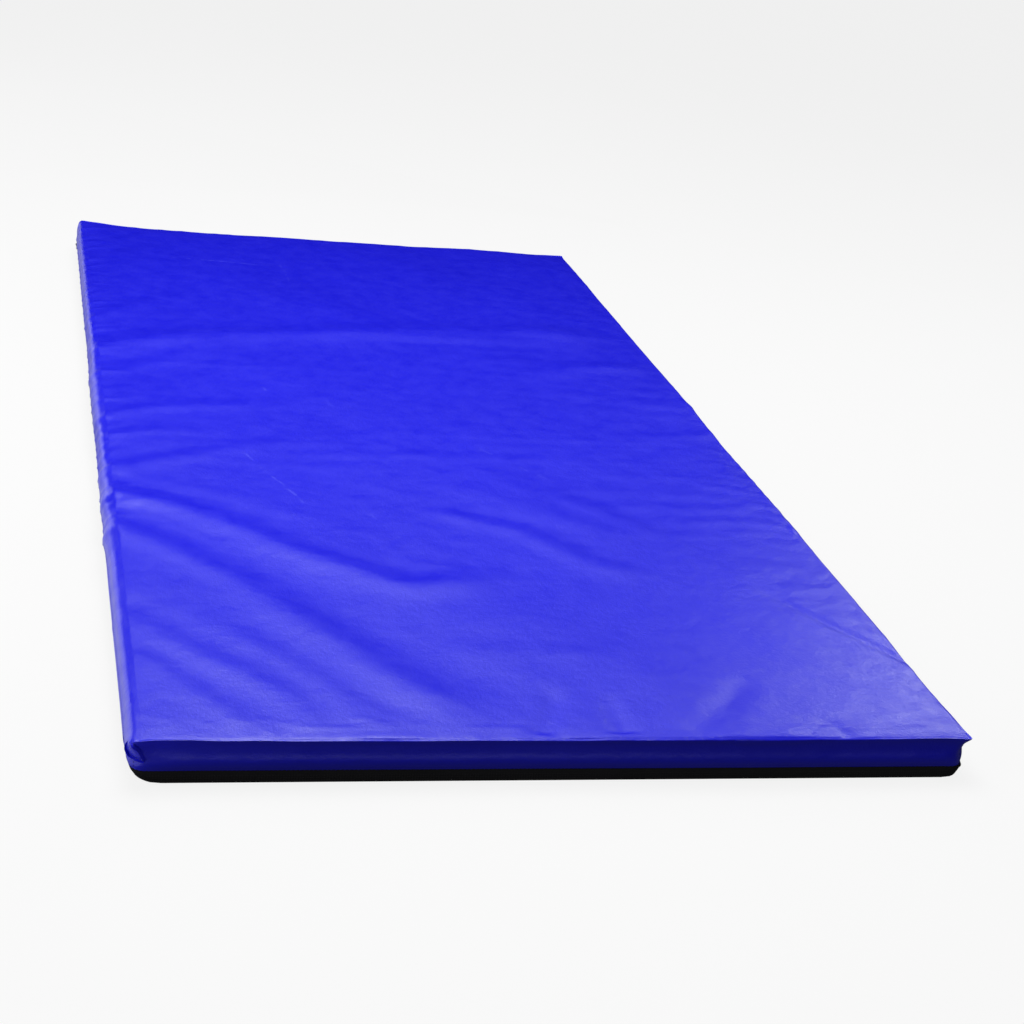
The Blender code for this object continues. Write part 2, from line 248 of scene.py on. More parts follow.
# Long folds of the top, on the unrolled sheet in metres, where the walls lie beyond u = -0.5 and 0.5 and
# v = -1 and 1: points, rise and width in mm, valley in mm and its side, fading at the ends, and spread.
LONG_FOLDS = (
    # the ridge right across the far half, and two wedges that run into it from the left edge
    (((-0.52, 0.25), (-0.40, 0.31), (-0.29, 0.34), (-0.08, 0.39), (0.18, 0.44), (0.36, 0.45), (0.49, 0.42)),
     6.4, 38, 0.8, 1, (0.02, 0.15), 0.2),
    (((-0.52, 0.13), (-0.41, 0.19), (-0.32, 0.26), (-0.22, 0.31)), 2.8, 18, 0.5, 1, (0.02, 0.5), 0.5),
    (((-0.52, 0.40), (-0.47, 0.45), (-0.37, 0.53), (-0.25, 0.62)), 2.0, 19, 0.5, 1, (0.02, 0.6), 0.5),
    # folds from the right edge
    (((0.49, 0.29), (0.46, 0.29), (0.4, 0.28), (0.3, 0.25), (0.14, 0.16)), 3.4, 21, 0.6, -1, (0.2, 0.6), 0.5),
    (((0.49, -0.53), (0.44, -0.53), (0.36, -0.56), (0.28, -0.61)), 0.9, 22, 0.8, 1, (0.2, 0.5), 0.3),
    # folds from the left edge, far to near
    (((-0.52, -0.06), (-0.42, -0.01), (-0.29, 0.02), (-0.13, 0.04)), 2.8, 16, 0.8, 1, (0.02, 0.6), 0.5),
    (((-0.52, -0.14), (-0.41, -0.1), (-0.30, -0.09)), 2.0, 14, 0.6, 1, (0.02, 0.6), 0.5),
    (((-0.52, -0.26), (-0.4, -0.21), (-0.28, -0.15), (-0.12, -0.08)), 2.8, 16, 0.9, 1, (0.02, 0.6), 0.6),
    (((-0.52, -0.34), (-0.42, -0.38), (-0.34, -0.44), (-0.26, -0.52), (-0.18, -0.58), (-0.12, -0.62),
      (-0.05, -0.6), (0.04, -0.56)), 6.2, 28, 1.8, 1, (0.02, 0.22), 0.15),
    (((-0.52, -0.44), (-0.41, -0.54), (-0.34, -0.62), (-0.27, -0.73), (-0.22, -0.81), (-0.17, -0.88),
      (-0.12, -0.94), (-0.1, -0.98)), 5.6, 28, 1.6, 1, (0.02, 0.15), 0.4),
    # the hook in the middle and its small neighbour
    (((-0.06, -0.35), (-0.03, -0.38), (0.02, -0.41), (0.08, -0.45), (0.13, -0.52), (0.19, -0.56),
      (0.25, -0.56)), 3.6, 22, 2.4, 1, (0.15, 0.25), 0.3),
    (((0.13, -0.27), (0.16, -0.31), (0.21, -0.36), (0.25, -0.41), (0.27, -0.47)), 1.7, 19, 1.3, 1,
     (0.4, 0.3), 0.0),
    # soft folds from the right edge across the middle
    (((0.52, 0.12), (0.33, 0.07), (0.20, 0.0)), 1.4, 22, 1.0, -1, (0.1, 0.6), 0.3),
    (((0.52, -0.01), (0.36, -0.06), (0.28, -0.12)), 1.4, 18, 1.0, -1, (0.1, 0.6), 0.3),
    # the set of slanting folds at the near left corner
    (((-0.52, -0.69), (-0.41, -0.81), (-0.35, -0.87), (-0.31, -0.94), (-0.29, -0.99)), 1.8, 18, 1.0, 1,
     (0.02, 0.1), 0.2),
    (((-0.50, -0.79), (-0.43, -0.89), (-0.39, -0.94), (-0.37, -0.98)), 1.5, 14, 0.8, 1, (0.1, 0.1), 0.2),
    (((-0.42, -0.66), (-0.35, -0.77), (-0.3, -0.84), (-0.25, -0.92), (-0.22, -0.98)), 1.1, 16, 0.7, 1,
     (0.4, 0.1), 0.2),
    # low swells across the near end
    (((-0.17, -0.81), (-0.07, -0.79), (0.03, -0.8), (0.14, -0.79)), 0.9, 24, 0.6, 1, (0.3, 0.3), 0.0),
)

# Creases, where the sheet dips along a narrow line: points, depth and width in mm, and fading at the ends.
CREASES = (
    (((0.34, -0.57), (0.37, -0.61), (0.42, -0.69), (0.50, -0.81)), 1.5, 7, (0.4, 0.02)),
    (((-0.47, 0.79), (-0.42, 0.85), (-0.37, 0.90)), 0.8, 9, (0.3, 0.3)),
    (((0.28, -0.83), (0.24, -0.88), (0.19, -0.94), (0.14, -0.99)), 2.2, 19, (0.4, 0.1)),
    (((0.07, -0.89), (0.06, -0.94), (0.06, -0.99)), 2.4, 15, (0.4, 0.1)),
    (((0.0, -0.86), (-0.01, -0.93), (-0.04, -0.99)), 2.4, 15, (0.4, 0.1)),
    (((0.31, -0.94), (0.33, -0.97), (0.34, -1.0)), 0.9, 9, (0.4, 0.1)),
)


def fold_height(u, v):
    """How far the long folds lift the sheet, in metres."""
    height = np.zeros(len(u))
    for points, rise, width, valley, side, ends, spread in LONG_FOLDS:
        add_fold(height, u, v, points, rise * MM, width * MM, valley * MM, side, ends, spread)
    return height


def crease_height(u, v):
    height = np.zeros(len(u))
    for points, depth, width, ends in CREASES:
        add_fold(height, u, v, points, -depth * MM, width * MM, ends=ends)
    return height


def gather_height(u, v):
    """Short puckers that start at a sewn edge and die away on the top."""
    rng = np.random.default_rng(7)
    height = np.zeros(len(u))
    zip_gathers = np.arange(-0.46, 0.95, 0.037)
    for place in zip_gathers + rng.uniform(-0.009, 0.009, len(zip_gathers)):
        reach = rng.uniform(0.02, 0.085)
        slant = rng.uniform(0.004, 0.012)
        inner = (-0.5 + reach, place + slant + rng.uniform(-0.01, 0.02))
        line = ((-0.524, place - slant), (-0.5, place), inner)
        rise, width = rng.uniform(0.7, 1.5) * MM, rng.uniform(5.5, 8.5) * MM
        add_fold(height, u, v, line, rise, width, ends=(0.02, 0.75))
    fan_gathers = np.linspace(-0.10, -0.40, 9)
    for place in fan_gathers + rng.uniform(-0.008, 0.008, len(fan_gathers)):
        reach = rng.uniform(0.10, 0.22)
        line = ((0.52, place - 0.01), (0.5, place), (0.5 - reach, place + 0.45 * reach))
        rise, width = rng.uniform(0.5, 1.0) * MM, rng.uniform(7, 10) * MM
        add_fold(height, u, v, line, rise, width, ends=(0.05, 0.8), spread=0.6)
    side_gathers = np.arange(-0.9, 0.95, 0.085)
    for place in side_gathers + rng.uniform(-0.02, 0.02, len(side_gathers)):
        reach = rng.uniform(0.02, 0.07)
        line = ((0.53, place + 0.006), (0.5, place), (0.5 - reach, place - rng.uniform(-0.01, 0.01)))
        rise, width = rng.uniform(0.15, 0.45) * MM, rng.uniform(6, 9) * MM
        add_fold(height, u, v, line, rise, width, ends=(0.02, 0.75))
    for wall in (-1, 1):
        end_gathers = np.arange(-0.46, 0.47, 0.055)
        for place in end_gathers + rng.uniform(-0.02, 0.02, len(end_gathers)):
            reach = rng.uniform(0.015, 0.06)
            lean = rng.uniform(-0.012, 0.012)
            line = ((place - lean, wall * 1.03), (place, wall * 1.0), (place + lean, wall * (1.0 - reach)))
            rise, width = rng.uniform(0.2, 0.7) * MM, rng.uniform(6, 10) * MM
            add_fold(height, u, v, line, rise, width, ends=(0.02, 0.75))
    return height


def slack_height(u, v):
    """The slow unevenness of a sheet on foam: a few crossing waves."""
    height = np.zeros(len(u))
    rng = np.random.default_rng(3)
    for wavelength, rise in ((0.55, 0.5), (0.31, 0.35), (0.19, 0.22), (0.12, 0.12), (0.075, 0.06)):
        for _ in range(4):
            angle = rng.uniform(0.15, 1.2)
            phase = rng.uniform(0, 2 * math.pi)
            turn = 2 * math.pi / wavelength
            height += rise * MM * np.sin(turn * (u * math.cos(angle) + v * math.sin(angle)) + phase)
    return height


# For each corner (across, along), in mm: how far its ear stands out, is tucked in below, and lifts.
CORNER_EARS = {
    (-1, -1): (5.0, 4.0, 1.6),
    (-1, 1): (6.0, 3.0, 10.0),
    (1, -1): (4.5, 7.0, 1.6),
    (1, 1): (5.0, 3.0, 2.0),
}


def corner_shape(points, box, depth):
    """Pulls each upright corner out to a small ear at the top edge and in below it, and lifts it."""
    moved = points.copy()
    for (across, along), (ear, tuck, lift) in CORNER_EARS.items():
        gap = np.hypot(box[:, 0] - across * HALF_WIDTH, box[:, 1] - along * HALF_LENGTH)
        out = np.array([across, along, 0.0]) / math.sqrt(2)
        high = bump(depth - 6 * MM, 11 * MM) * bump(gap, 17 * MM)
        low = bump(depth - 28 * MM, 10 * MM) * bump(gap, 20 * MM)
        moved += (ear * MM * high - tuck * MM * low)[:, None] * out
        moved[:, 2] += lift * MM * bump(gap, 85 * MM) * smoothstep(1 - depth / (35 * MM))
    return moved


# How far the zip's wall stands out from a plain upright wall, in mm: (height, outwards).
ZIP_WALL = (
    (0, -8.5), (8, -5.5), (18, 0.0), (26, 3.0), (32, 4.2),
    (38, 4.4), (44, 3.4), (50, 0.0), (55, -4.5), (60, -10.0),
)
PULL_ROOM = 3.2 * MM


def lean_zip_wall(points, box):
    """Moves the points near the zip's wall in or out by its profile. Past the ends of the zip the wall draws
    in, to leave room for the pull."""
    heights, outwards = np.array(ZIP_WALL).T * MM
    moved = points.copy()
    reach = np.exp(-(((box[:, 0] + HALF_WIDTH) / (70 * MM)) ** 2))
    profile = np.interp(box[:, 2], heights, outwards)
    past_zip = smoothstep((np.abs(box[:, 1]) - SLOT_END + 3 * MM) / (6 * MM))
    past_zip *= bump(box[:, 2] - ZIP_Z, 5 * MM)
    moved[:, 0] -= (profile - PULL_ROOM * past_zip) * reach
    return moved


def wall_profile(sheet):
    """How the sheet leaves the box: the top crowns, and the walls tuck in, bulge and draw in to the seam."""
    side_gap = HALF_WIDTH - np.abs(sheet.box[:, 0])
    end_gap = HALF_LENGTH - np.abs(sheet.box[:, 1])
    crown = 1.5 * np.exp(-side_gap / (45 * MM)) + 2.2 * np.exp(-end_gap / (60 * MM))
    crown += 2.0 * np.exp(-end_gap / (28 * MM))
    crown = -MM * crown * (sheet.depth < 1e-6)
    height = sheet.box[:, 2]
    zip_side = smoothstep((-HALF_WIDTH + 25 * MM - sheet.box[:, 0]) / (25 * MM))
    on_wall = smoothstep(sheet.depth / (5 * MM))
    tuck = -3.2 * MM * bump(height - (TOP - 13 * MM), 8 * MM) * (1 - zip_side)
    belly = 2.8 * MM * bump(height - (SEAM + 11 * MM), 8 * MM) * (1 - zip_side)
    seam = -1.8 * MM * bump(height - SEAM, 4.5 * MM)
    return crown + (tuck + belly + seam) * on_wall


def folded_points(sheet):
    """The sheet's points with the walls' shape and the long folds."""
    points = corner_shape(sheet.points, sheet.box, sheet.depth)
    points = lean_zip_wall(points, sheet.box)
    wall_fade = np.exp(-sheet.depth / (28 * MM))
    drape = fold_height(sheet.u, sheet.v) + slack_height(sheet.u, sheet.v)
    lift = drape * wall_fade + wall_profile(sheet)
    return points + sheet.normals * lift[:, None]


CLOTH_SLACK = 0.005
CLOTH_FRAMES = 20
CLOTH_CAP = 2.0 * MM
SLAB_GAP = 3.0 * MM


def settle_cloth(sheet, start):
    """Drops the sheet as slack cloth on the slab, held along its lower walls. Returns each point's move."""
    cloth = mesh_object("cloth", start, sheet.faces)
    held = cloth.vertex_groups.new(name="held")
    held.add([int(index) for index in np.flatnonzero(sheet.depth > 18 * MM)], 1.0, "REPLACE")
    slab = mesh_object("slab", sheet.points - sheet.normals * SLAB_GAP, sheet.faces)
    slab.modifiers.new("collision", "COLLISION")
    slab.collision.thickness_outer = 1 * MM
    slab.collision.cloth_friction = 20.0
    modifier = cloth.modifiers.new("cloth", "CLOTH")
    settings = modifier.settings
    settings.quality = 6
    settings.mass = 0.05
    settings.tension_stiffness = settings.compression_stiffness = 30.0
    settings.shear_stiffness = 10.0
    settings.bending_stiffness = 1.5
    settings.vertex_group_mass = "held"
    settings.shrink_min = -CLOTH_SLACK
    modifier.collision_settings.distance_min = 1 * MM
    modifier.collision_settings.use_self_collision = False
    modifier.point_cache.frame_start = 1
    modifier.point_cache.frame_end = CLOTH_FRAMES
    scene = bpy.context.scene
    for frame_number in range(1, CLOTH_FRAMES + 1):
        scene.frame_set(frame_number)
    graph = bpy.context.evaluated_depsgraph_get()
    settled = read_vertices(cloth.evaluated_get(graph).data, "co")
    scene.frame_set(1)
    for obj in (cloth, slab):
        bpy.data.objects.remove(obj)
    moved = settled - start
    length = np.linalg.norm(moved, axis=1, keepdims=True)
    return moved * CLOTH_CAP / np.maximum(length + CLOTH_CAP, 1e-9)


def spread_over(moves, coarse, fine):
    """The coarse sheet's moves at the fine sheet's points, found by their places on the plain box."""
    triangles = np.vstack([coarse.faces[:, [0, 1, 2]], coarse.faces[:, [0, 2, 3]]])
    tree = BVHTree.FromPolygons(coarse.box.tolist(), triangles.tolist())
    nearest = [tree.find_nearest(point)[2] for point in fine.box.tolist()]
    corners = triangles[nearest]
    first, second, third = (coarse.box[corners[:, k]] for k in range(3))
    whole = np.cross(second - first, third - first)
    area = (whole * whole).sum(axis=1)
    to_second = (np.cross(fine.box - first, third - first) * whole).sum(axis=1) / area
    to_third = (np.cross(second - first, fine.box - first) * whole).sum(axis=1) / area
    weights = np.column_stack([1 - to_second - to_third, to_second, to_third])
    return (moves[corners] * weights[:, :, None]).sum(axis=1)


def cloth_moves(sheet):
    """How far settling as slack cloth moves each point of the sheet. The sewn corners stay in place."""
    coarse = Sheet(8 * MM, 13 * MM)
    moves = spread_over(settle_cloth(coarse, folded_points(coarse)), coarse, sheet)
    side_gap, end_gap = HALF_WIDTH - np.abs(sheet.box[:, 0]), HALF_LENGTH - np.abs(sheet.box[:, 1])
    from_corner = np.hypot(side_gap, end_gap)
    return moves * smoothstep(from_corner / (70 * MM))[:, None]


def make_cover():
    """The blue sheet, from the seam up the walls and over the top, and the strip below the zip."""
    sheet = Sheet(3.6 * MM, 11.6 * MM)
    points = folded_points(sheet) + cloth_moves(sheet)
    made = []
    for name, faces in (("mat_cover", sheet.cover_faces), ("zip_side_hem", sheet.strip_faces)):
        coarse = mesh_object(name + "_coarse", points, faces)
        for key, values in (("u", sheet.u), ("v", sheet.v)):
            attribute = coarse.data.attributes.new(key, "FLOAT", "POINT")
            attribute.data.foreach_set("value", values.astype(np.float32))
        piece = subdivided(coarse, name)
        u, v = (read_attribute(piece.data, key) for key in ("u", "v"))
        lift = crease_height(u, v) + gather_height(u, v)
        moved = read_vertices(piece.data, "co") + read_vertices(piece.data, "normal") * lift[:, None]
        piece.data.vertices.foreach_set("co", moved.astype(np.float32).ravel())
        piece.data.update()
        made.append(piece)
    return made


def turn_in_rims(piece):
    """Turns each open edge inwards by the sheet's thickness, and then back behind the sheet."""
    shape = bmesh.new()
    shape.from_mesh(piece.data)
    rim = [edge for edge in shape.edges if edge.is_boundary]
    outward, normal = {}, {}
    for edge in rim:
        face = edge.link_faces[0]
        middle = (edge.verts[0].co + edge.verts[1].co) / 2
        for vert in edge.verts:
            away = (middle - face.calc_center_median()).normalized()
            outward[vert] = outward.get(vert, Vector()) + away
            normal[vert] = normal.get(vert, Vector()) + face.normal
    for back, inwards in ((0.0, 1.0), (4 * MM, 0.1)):
        made = bmesh.ops.extrude_edge_only(shape, edges=rim)["geom"]
        for vert in [item for item in made if isinstance(item, bmesh.types.BMVert)]:
            others = [edge.other_vert(vert) for edge in vert.link_edges]
            source = next(other for other in others if other in outward)
            outward[vert], normal[vert] = outward[source].normalized(), normal[source].normalized()
            vert.co -= outward[vert] * back + normal[vert] * SHEET_THICKNESS * inwards
        rim = [edge for edge in made if isinstance(edge, bmesh.types.BMEdge) and edge.is_boundary]
    shape.to_mesh(piece.data)
    shape.free()
    piece.data.shade_smooth()
    piece.data.set_sharp_from_angle(angle=math.radians(50))


def subdivided(obj, name):
    """A new object with the mesh subdivided once. The first object is removed."""
    modifier = obj.modifiers.new("fine", "SUBSURF")
    modifier.levels = modifier.render_levels = 1
    graph = bpy.context.evaluated_depsgraph_get()
    mesh = bpy.data.meshes.new_from_object(obj.evaluated_get(graph))
    bpy.data.objects.remove(obj)
    mesh.name = name
    return add_object(name, mesh)


def read_attribute(mesh, name):
    values = np.zeros(len(mesh.vertices), np.float32)
    mesh.attributes[name].data.foreach_get("value", values)
    return values.astype(float)


# ------------ base, foam, zip and stitches

def make_base():
    """The black sheet under the slab, turned up at the walls as a shallow tray."""
    x_lines = graded_lines(HALF_WIDTH, 18 * MM, 2 * MM, 13 * MM)
    y_lines = graded_lines(HALF_LENGTH, 18 * MM, 2 * MM, 13 * MM)
    rows = np.array([1.0, 2.2, 3.6, 6.4, 9.2, 12.1, 15.0, BASE_RIM / MM]) * MM
    box, faces = wrapped_grid(x_lines, y_lines, 0.0, rows)
    corner = CORNER_RADIUS + BASE_CORNER_TUCK * smoothstep(1 - box[:, 2] / BASE_RIM)
    points, normals = round_box(box, (HALF_WIDTH, HALF_LENGTH, 0.0), corner, BASE_EDGE_RADIUS, -1)
    pull_in = -1.6 * MM * bump(box[:, 2] - BASE_RIM, 4.5 * MM) * (box[:, 2] > 0)
    sag = -0.35 * MM * (1 + slack_height(box[:, 0] * 1.7, box[:, 1] * 1.7) / (1.5 * MM))
    sag = np.minimum(sag, 0.0) * (np.abs(normals[:, 2]) > 0.9)
    points = lean_zip_wall(points + normals * (pull_in + sag)[:, None], box)
    base = mesh_object("mat_base", points, faces[:, ::-1])
    turn_in_rims(base)
    return base


FOAM_GAP = 2.0 * MM


def make_foam():
    """The foam block inside, a closed form that gives way wherever the blue sheet comes close."""
    x_lines = graded_lines(core_high.x, 24 * MM, 6 * MM, 16 * MM)
    y_lines = graded_lines(core_high.y, 24 * MM, 6 * MM, 16 * MM)
    middle = (core_low.z + core_high.z) / 2
    top = core_high.z - 1.6 * MM
    bottom = core_low.z + 0.4 * MM
    shells = []
    for side, end in ((1, top), (-1, bottom)):
        box, faces = wrapped_grid(x_lines, y_lines, end, np.linspace(end, middle, 5)[1:])
        corner = 14 * MM + BASE_CORNER_TUCK * smoothstep(1 - box[:, 2] / BASE_RIM)
        points, _ = round_box(box, (core_high.x, core_high.y, end), corner, 6 * MM, side)
        points[:, 0] = np.maximum(points[:, 0], lean_zip_wall(points, box)[:, 0])
        shells.append((points, faces if side > 0 else faces[:, ::-1]))
    (upper_points, upper_faces), (lower_points, lower_faces) = shells
    points = np.vstack([upper_points, lower_points])
    for _ in range(2):
        for index, point in enumerate(points):
            place, normal = on_blue(point)
            room = (Vector(point) - place).dot(normal) + FOAM_GAP
            if room > 0:
                points[index] -= np.array(normal) * room
    foam = mesh_object("foam_block", points, np.vstack([upper_faces, lower_faces + len(upper_points)]))
    shape = bmesh.new()
    shape.from_mesh(foam.data)
    bmesh.ops.remove_doubles(shape, verts=shape.verts, dist=0.1 * MM)
    shape.to_mesh(foam.data)
    shape.free()
    foam.data.shade_smooth()
    return foam


COIL_PITCH = 2.0 * MM
COIL_WIRE = 0.30 * MM
FOLD_TOP = TOP - 3.5 * MM
FOLD_FOOT = ZIP_Z + 1 * MM
FOLD_REACH = 15 * MM


def make_coil(name, side):
    """One row of zip teeth: a flat spiral whose turns sit between those of the other row."""
    low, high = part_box(name)
    turns = round((high.y - low.y - 1 * MM) / COIL_PITCH)
    turn = np.arange(turns * 8 + 1) / 8
    angle = 2 * math.pi * turn
    near, far = 0.2 * MM, max(abs(low.z - ZIP_Z), abs(high.z - ZIP_Z)) - COIL_WIRE
    across, out = np.cos(angle), np.sin(angle)
    path = np.column_stack([
        ZIP_X - ((high.x - low.x) / 2 - COIL_WIRE) * out,
        low.y + 0.4 * MM + COIL_PITCH * (turn + (0.0 if side > 0 else 0.5) * (turns - 1) / turns),
        ZIP_Z + side * ((near + far) / 2 + (far - near) / 2 * across),
    ])
    radial = np.column_stack([-out, np.zeros(len(turn)), side * across])
    length_way = np.tile([0.0, 1.0, 0.0], (len(turn), 1))
    return mesh_object(name.replace("zip_coil", "zip_teeth"), *tube(path, radial, length_way, COIL_WIRE, 4))


def tube(path, first, second, radius, sides):
    """Points and faces of a closed tube along a path. first and second are unit vectors across it at each
    point, and radius is one number or a column of them."""
    rings = []
    for k in range(sides):
        angle = 2 * math.pi * k / sides
        rings.append(path + radius * (math.cos(angle) * first + math.sin(angle) * second))
    points = np.stack(rings, axis=1).reshape(-1, 3)
    before = (np.arange(len(path) - 1) * sides)[:, None]
    start, after = before + np.arange(sides), before + (np.arange(sides) + 1) % sides
    faces = np.stack([start, after, after + sides, start + sides], axis=2).reshape(-1, 4)
    ends = [list(range(sides))[::-1], [len(points) - sides + k for k in range(sides)]]
    return points, [*faces.tolist(), *ends]


def around_corner(along, run, height):
    """A point of the wall near a corner of the zip's side, and the way out of it. run is the distance round
    the wall from the corner's middle, negative on the zip's side."""
    radius = float(corner_radius(TOP - height))
    quarter = radius * math.pi / 4
    turn = min(max(run / quarter, -1.0), 1.0) * math.pi / 4 + math.pi / 4
    past = max(abs(run) - quarter, 0.0)
    out = np.array([-math.cos(turn), along * math.sin(turn), 0.0])
    centre = np.array([-HALF_WIDTH + radius, along * (HALF_LENGTH - radius), height])
    slide = np.array([past, 0.0, 0.0]) if run > 0 else np.array([0.0, -along * past, 0.0])
    return centre + radius * out + slide, out


def corner_surface(along, run, height):
    """The same place on the blue sheet as it was made, and its normal."""
    point, out = around_corner(along, run, height)
    start = Vector(point + out * 15 * MM)
    hits = [surface.ray_cast(start, Vector(-out)) for surface in blue_surfaces]
    hits = [hit for hit in hits if hit[0] is not None]
    if not hits:
        return Vector(point), Vector(out)
    place, normal, _, _ = min(hits, key=lambda hit: hit[3])
    return place, normal


def make_corner_fold(name, along):
    """The corner's spare cloth, folded over onto the end wall: a flap with one free edge."""
    across_steps, down_steps = 22, 26
    points = []
    for down in np.linspace(0, 1, down_steps):
        height = FOLD_TOP + (FOLD_FOOT - FOLD_TOP) * down
        free_edge = FOLD_REACH * (0.10 + 0.90 * down ** 0.85)
        for across in np.linspace(0, 1, across_steps):
            run = -9 * MM + (free_edge + 9 * MM) * across
            place, normal = corner_surface(along, run, height)
            swell = float(smoothstep(across / 0.8) * smoothstep(min(down, 1 - down) / 0.12))
            rise = (-0.7 + 2.0 * swell - 0.5 * across ** 8) * MM
            points.append(np.array(place) + np.array(normal) * rise)
    faces = []
    for down in range(down_steps - 1):
        for across in range(across_steps - 1):
            first = down * across_steps + across
            faces.append([first, first + across_steps, first + across_steps + 1, first + 1][:: int(-along)])
    fold = mesh_object(name, points, faces)
    turn_in_rims(fold)
    return fold


def corner_seam_line(along):
    """The end of the zip's seam, from the slot round the corner to the foot of the fold."""
    line = []
    for share in np.linspace(0, 1, 40):
        run = -(HALF_LENGTH - SLOT_END - 4 * MM) * (1 - share) + FOLD_REACH * share
        height = ZIP_Z + (FOLD_FOOT - ZIP_Z) * share ** 2
        line.append(around_corner(along, run, height)[0])
    return np.array(line)


STITCH_PITCH = 5.0 * MM
STITCH_LENGTH = 4.1 * MM
THREAD = 0.40 * MM
HEM_STITCH = 2.0 * MM
CORNER_SEAM_LOW = SEAM + 1.2 * MM
CORNER_SEAM_HIGH = TOP - 15 * MM


def make_stitches(name, run, place):
    """Separate stitches along a run of points, dipping in at their ends. place(point) gives a point's place
    on its surface, and the normal there."""
    all_points, all_faces = [], []
    along = np.concatenate([[0.0], np.cumsum(np.linalg.norm(np.diff(run, axis=0), axis=1))])
    shape = np.array([0.25, 0.85, 1.0, 0.85, 0.25])
    for number in range(int(along[-1] / STITCH_PITCH)):
        at = (number + 0.5) * STITCH_PITCH + np.linspace(-0.5, 0.5, len(shape)) * STITCH_LENGTH
        line = np.column_stack([np.interp(at, along, run[:, k]) for k in range(3)])
        placed, normals = np.array([place(point) for point in line]).transpose(1, 0, 2)
        centre = placed + normals * ((shape - 0.8) * THREAD * 1.6)[:, None]
        beside = np.cross((placed[-1] - placed[0]) / np.linalg.norm(placed[-1] - placed[0]), normals)
        points, faces = tube(centre, beside, normals, (THREAD * shape)[:, None], 6)
        all_faces += [[len(all_points) + index for index in face] for face in faces]
        all_points += points.tolist()
    return mesh_object(name, all_points, all_faces)


def on_blue(point):
    """The nearest place on the blue sheets, and the normal there."""
    found = [surface.find_nearest(Vector(point)) for surface in blue_surfaces]
    place, normal, _, _ = min(found, key=lambda one: one[3])
    return place, normal


def in_seam(point):
    """A place in the groove between the blue and the black sheet, and the way out of it."""
    inner = Vector((
        max(-HALF_WIDTH + CORNER_RADIUS, min(HALF_WIDTH - CORNER_RADIUS, point[0])),
        max(-HALF_LENGTH + CORNER_RADIUS, min(HALF_LENGTH - CORNER_RADIUS, point[1])),
        point[2],
    ))
    return Vector(point), (Vector(point) - inner).normalized()


def seam_line():
    """The loop of the seam thread, 2 mm inside the walls."""
    radius = CORNER_RADIUS - 2 * MM
    line = []
    for k, (across, along) in enumerate(((1, 1), (-1, 1), (-1, -1), (1, -1), (1, 1))):
        centre = np.array([across * (HALF_WIDTH - CORNER_RADIUS), along * (HALF_LENGTH - CORNER_RADIUS)])
        for step in range(5):
            angle = math.radians(90 * k + 22.5 * step)
            line.append([*(centre + radius * np.array([math.cos(angle), math.sin(angle)])), SEAM - 0.15 * MM])
    return np.array(line[4:-4])


def zip_hem_line(height):
    """The stitch line along one side of the zip."""
    y = np.linspace(-SLOT_END, SLOT_END, 600)
    return np.column_stack([np.full(600, -HALF_WIDTH), y, np.full(600, height)])


def corner_line(across, along):
    """The upright seam of one corner."""
    inset = CORNER_RADIUS * (1 - math.sqrt(0.5))
    heights = np.linspace(CORNER_SEAM_LOW, CORNER_SEAM_HIGH, 12)
    return np.array([(across * (HALF_WIDTH - inset), along * (HALF_LENGTH - inset), z) for z in heights])


def surface_of(obj):
    mesh = obj.data
    return BVHTree.FromPolygons([v.co for v in mesh.vertices], [tuple(p.vertices) for p in mesh.polygons])


# ------------ materials

def new_material(name, base, roughness):
    """A material, and the helper that adds and links its nodes."""
    material = bpy.data.materials.new(name)
    material.use_nodes = True
    nodes = Nodes(material.node_tree)
    nodes.look("Base Color", (*base, 1.0))
    nodes.look("Roughness", roughness)
    return material, nodes


